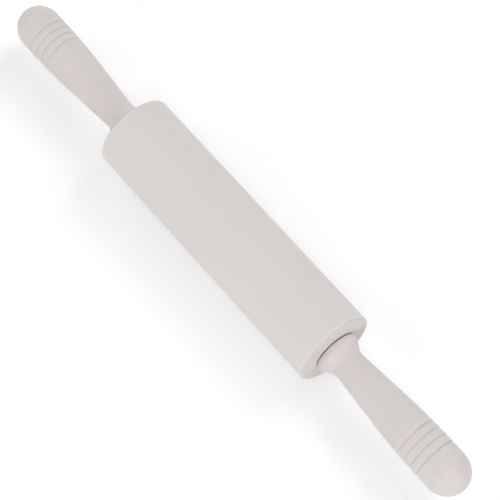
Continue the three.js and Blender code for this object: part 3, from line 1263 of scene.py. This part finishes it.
@dataclass(frozen=True)
class SoftBox:
    """An oblong area light, level along its width, aimed at a point from a direction.

    Its azimuth is in degrees, its power in watts and its distance in metres.
    """

    name: str
    kind: BoxKind
    azimuth: float
    power: float
    distance: float = 1.6

    def place(self, aim: Vector) -> None:
        """Adds the light.

        Args:
            aim: Point that it faces.
        """
        elevation, width, height = self.kind.value
        back = direction(self.azimuth, elevation)
        data = bpy.data.lights.new(self.name, "AREA")
        data.shape = "RECTANGLE"
        data.size = width
        data.size_y = height
        data.energy = self.power
        lamp = add_object(self.name, data)
        lamp.location = aim + back * self.distance
        lamp.rotation_euler = back.to_track_quat("Z", "Y").to_euler()


@dataclass(frozen=True)
class Studio:
    """Pale floor, soft light and the camera.

    The camera and the powers of the soft boxes were fitted to the photograph.
    """

    floor_side: float = 8.0
    floor_colour: Colour = (0.863, 0.8715, 0.878)
    floor_glow: float = 0.206
    white_from: float = 0.5
    white_to: float = 1.3
    camera_azimuth: float = -39.49
    camera_elevation: float = 63.68
    camera_distance: float = 1.1786
    camera_right: float = 11.71 * MM
    camera_up: float = -8.3 * MM
    camera_clip: Pair = (0.05, 50.0)
    focal_pixels: float = 1873.4
    boxes: Sequence[SoftBox] = (
        SoftBox("key", BoxKind.PANEL, 90.0, 9.74),
        SoftBox("right_fill", BoxKind.PANEL, 45.0, 2.59),
        SoftBox("end_fill", BoxKind.PANEL, 0.0, 1.54),
        SoftBox("far_fill", BoxKind.PANEL, 180.0, 2.76),
        SoftBox("left_fill", BoxKind.PANEL, 225.0, 5.03),
        SoftBox("key_top", BoxKind.HIGH, 90.0, 2.71),
        SoftBox("camera_fill", BoxKind.SMALL, -39.5, 4.17),
        SoftBox("top", BoxKind.OVERHEAD, -39.5, 1.18),
        SoftBox("low_right", BoxKind.STRIP, 0.0, 4.98),
        SoftBox("low_behind", BoxKind.STRIP, 135.0, 3.49),
        SoftBox("low_left", BoxKind.STRIP, 180.0, 2.03),
        SoftBox("low_front_left", BoxKind.STRIP, 225.0, 1.54),
        SoftBox("low_front", BoxKind.STRIP, 270.0, 5.85),
        SoftBox("low_front_right", BoxKind.STRIP, 315.0, 8.03),
    )

    def floor(self) -> None:
        """Lays the floor: it keeps the shadows, glows a little where seen and is white far off."""
        half = self.floor_side / 2
        corners = np.array([[-1, -1, 0], [1, -1, 0], [1, 1, 0], [-1, 1, 0]]) * half
        mesh = bpy.data.meshes.new("worktop")
        mesh.from_pydata(corners.tolist(), [], [[0, 1, 2, 3]])
        material, graph = new_material("pale_worktop")
        far_off = graph.from_origin().ramp(self.white_from, self.white_to)
        glow_share = graph.seen() * (self.floor_glow + far_off * (1.0 - self.floor_glow))
        matt = graph.node("ShaderNodeBsdfDiffuse", None, {"Color": (*self.floor_colour, 1.0)})
        glow = graph.node("ShaderNodeEmission", None, {"Color": graph.blend(glow_share, BLACK, WHITE)})
        shaders = {0: matt.outputs[0], 1: glow.outputs[0]}
        graph.surface(graph.node("ShaderNodeAddShader", None, shaders))
        mesh.materials.append(material)
        add_object("worktop", mesh)

    def world(self) -> None:
        """White surroundings that are only seen: the soft boxes give all the light."""
        world = bpy.data.worlds.new("white_studio")
        world.use_nodes = True
        bpy.context.scene.world = world
        graph = Graph(world.node_tree)
        colour = graph.blend(graph.seen(), BLACK, WHITE)
        sky = graph.node("ShaderNodeBackground", None, {"Color": colour})
        graph.surface(sky, "ShaderNodeOutputWorld")

    def camera(self, centre: Vector) -> None:
        """Places the camera level, at the photograph's angle and distance.

        Args:
            centre: Middle of the pin.
        """
        back = direction(self.camera_azimuth, self.camera_elevation)
        right = Vector((-back.y, back.x, 0.0)).normalized()
        up = back.cross(right)
        data = bpy.data.cameras.new("camera")
        data.sensor_width = SENSOR_WIDTH
        data.lens = SENSOR_WIDTH * self.focal_pixels / IMAGE_SIDE
        data.clip_start, data.clip_end = self.camera_clip
        camera = add_object("camera", data)
        place = centre + right * self.camera_right + up * self.camera_up + back * self.camera_distance
        axes = Matrix((right, up, back)).transposed().to_4x4()
        camera.matrix_world = Matrix.Translation(place) @ axes
        bpy.context.scene.camera = camera

    def build(self, centre: Vector) -> None:
        """Sets up floor, light and camera.

        Args:
            centre: Middle of the pin.
        """
        bpy.context.scene.view_settings.view_transform = "Standard"
        self.floor()
        self.world()
        for box in self.boxes:
            box.place(centre)
        self.camera(centre)
        LOG.info("studio: %d soft boxes", len(self.boxes))


def materials_for(barrel: Barrel) -> Finishes:
    """Makes the materials of the pin.

    Args:
        barrel: Barrel along whose rounded edges the silicone gets painted shade and a painted
            highlight line.

    Returns:
        One material for each slot.
    """
    # Where the painted highlight line and painted edge shade lie on the silicone.
    painted_edge_marks = {"edge_from": barrel.end - barrel.edge + barrel.highlight_offset, "edge_to": barrel.end}
    plated = (replace(LINES, tone=STAIN.tone), replace(STAIN, tone=LINES.tone))
    finishes = {
        Slot.SILICONE: SiliconeFinish("matte_silicone", (0.659, 0.62, 0.6), 0.62, **painted_edge_marks),
        Slot.CORE: PlainPlasticFinish("core_plastic", (0.77, 0.74, 0.69), 0.5),
        Slot.BEARING: PlainPlasticFinish("smooth_acetal", (0.87, 0.84, 0.78), 0.36),
        Slot.HANDLE: MouldedFinish("moulded_grip", (0.624, 0.576, 0.561), 0.5),
        Slot.STEEL: MetalFinish("drawn_steel", (0.55, 0.56, 0.57), 0.34),
        Slot.ZINC: MetalFinish("zinc_plate", (0.60, 0.60, 0.58), 0.42, layers=plated),
    }
    return {slot: finish.material() for slot, finish in finishes.items()}


def main() -> None:
    """Builds and dresses the pin from the barrel outwards, then sets up the studio."""
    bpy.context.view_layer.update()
    barrel = Barrel.from_frame()
    finishes = materials_for(barrel)
    lathe = Lathe(barrel.radius)
    barrel.build(lathe, finishes)
    for side in Side:
        EndBearing.from_frame(side).build(lathe, finishes)
        Handle.from_frame(side).build(lathe, finishes)
    AxleSet.from_frame().build(Lathe(barrel.radius, SMALL_COLUMNS), finishes)
    Studio().build(Vector((0.0, 0.0, barrel.radius)))


if __name__ == "__main__":
    main()
